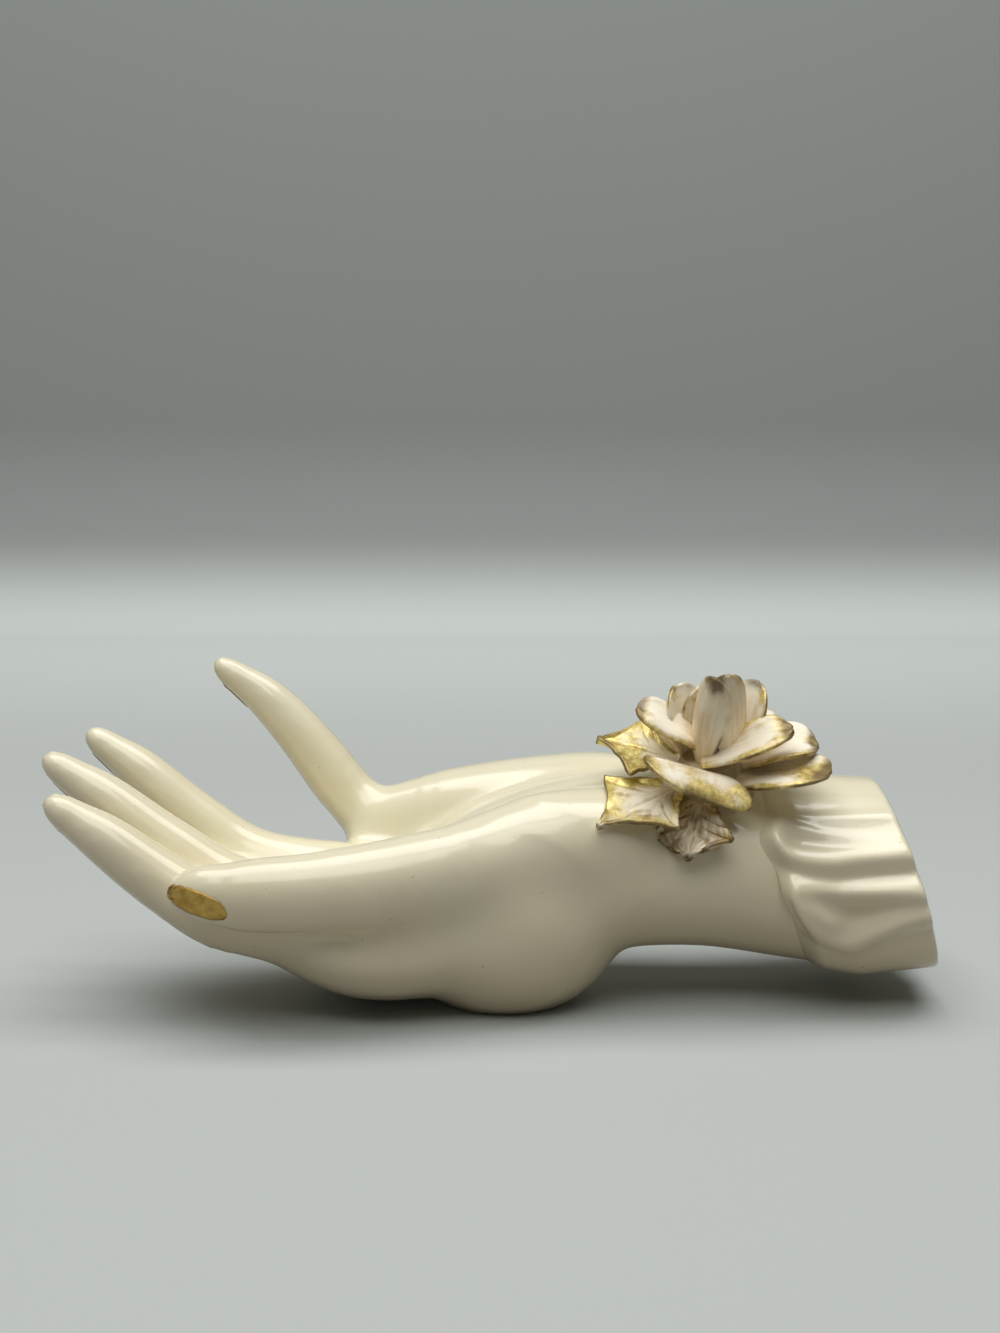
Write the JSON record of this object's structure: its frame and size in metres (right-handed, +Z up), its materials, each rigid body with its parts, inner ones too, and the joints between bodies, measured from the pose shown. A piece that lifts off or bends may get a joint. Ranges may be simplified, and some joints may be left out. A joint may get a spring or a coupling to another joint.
{
  "type": "hand sculpture",
  "caption": "Cream-glazed ceramic left hand lying palm up on a rounded foot, with a pleated cuff and a gilt-edged rose on the wrist; a shelf ornament.",
  "frame": {"origin": "centre of the flat face under the rounded foot", "axes": "+X runs from the fingertips to the cuff, +Y points away from the thumb, +Z is up"},
  "size_m": [0.2148, 0.0793, 0.0822],
  "materials": {
    "cream_glaze": "gloss",
    "petal_clay": "satin, gold brushed on the rims",
    "leaf_clay": "satin, gold brushed on the rims",
    "gilding": "burnished gold lustre"
  },
  "bodies": {
    "root": {"hand_shell": "cream_glaze", "index_finger": "cream_glaze", "index_nail": "gilding", "leaf_left": "leaf_clay", "leaf_lower": "leaf_clay", "leaf_upper": "leaf_clay", "little_finger": "cream_glaze", "little_nail": "gilding", "middle_finger": "cream_glaze", "middle_nail": "gilding", "petal_back_left": "petal_clay", "petal_back_right": "petal_clay", "petal_front": "petal_clay", "petal_inner_back": "petal_clay", "petal_inner_left": "petal_clay", "petal_inner_right": "petal_clay", "petal_left": "petal_clay", "petal_right_back": "petal_clay", "petal_right_front": "petal_clay", "petal_right_low": "petal_clay", "petal_wrap_left": "petal_clay", "petal_wrap_right": "petal_clay", "ring_finger": "cream_glaze", "ring_nail": "gilding", "rose_bud": "petal_clay", "rose_pad": "petal_clay", "ruffled_cuff": "cream_glaze", "thumb": "cream_glaze", "thumb_nail": "gilding"}
  },
  "joints": []
}
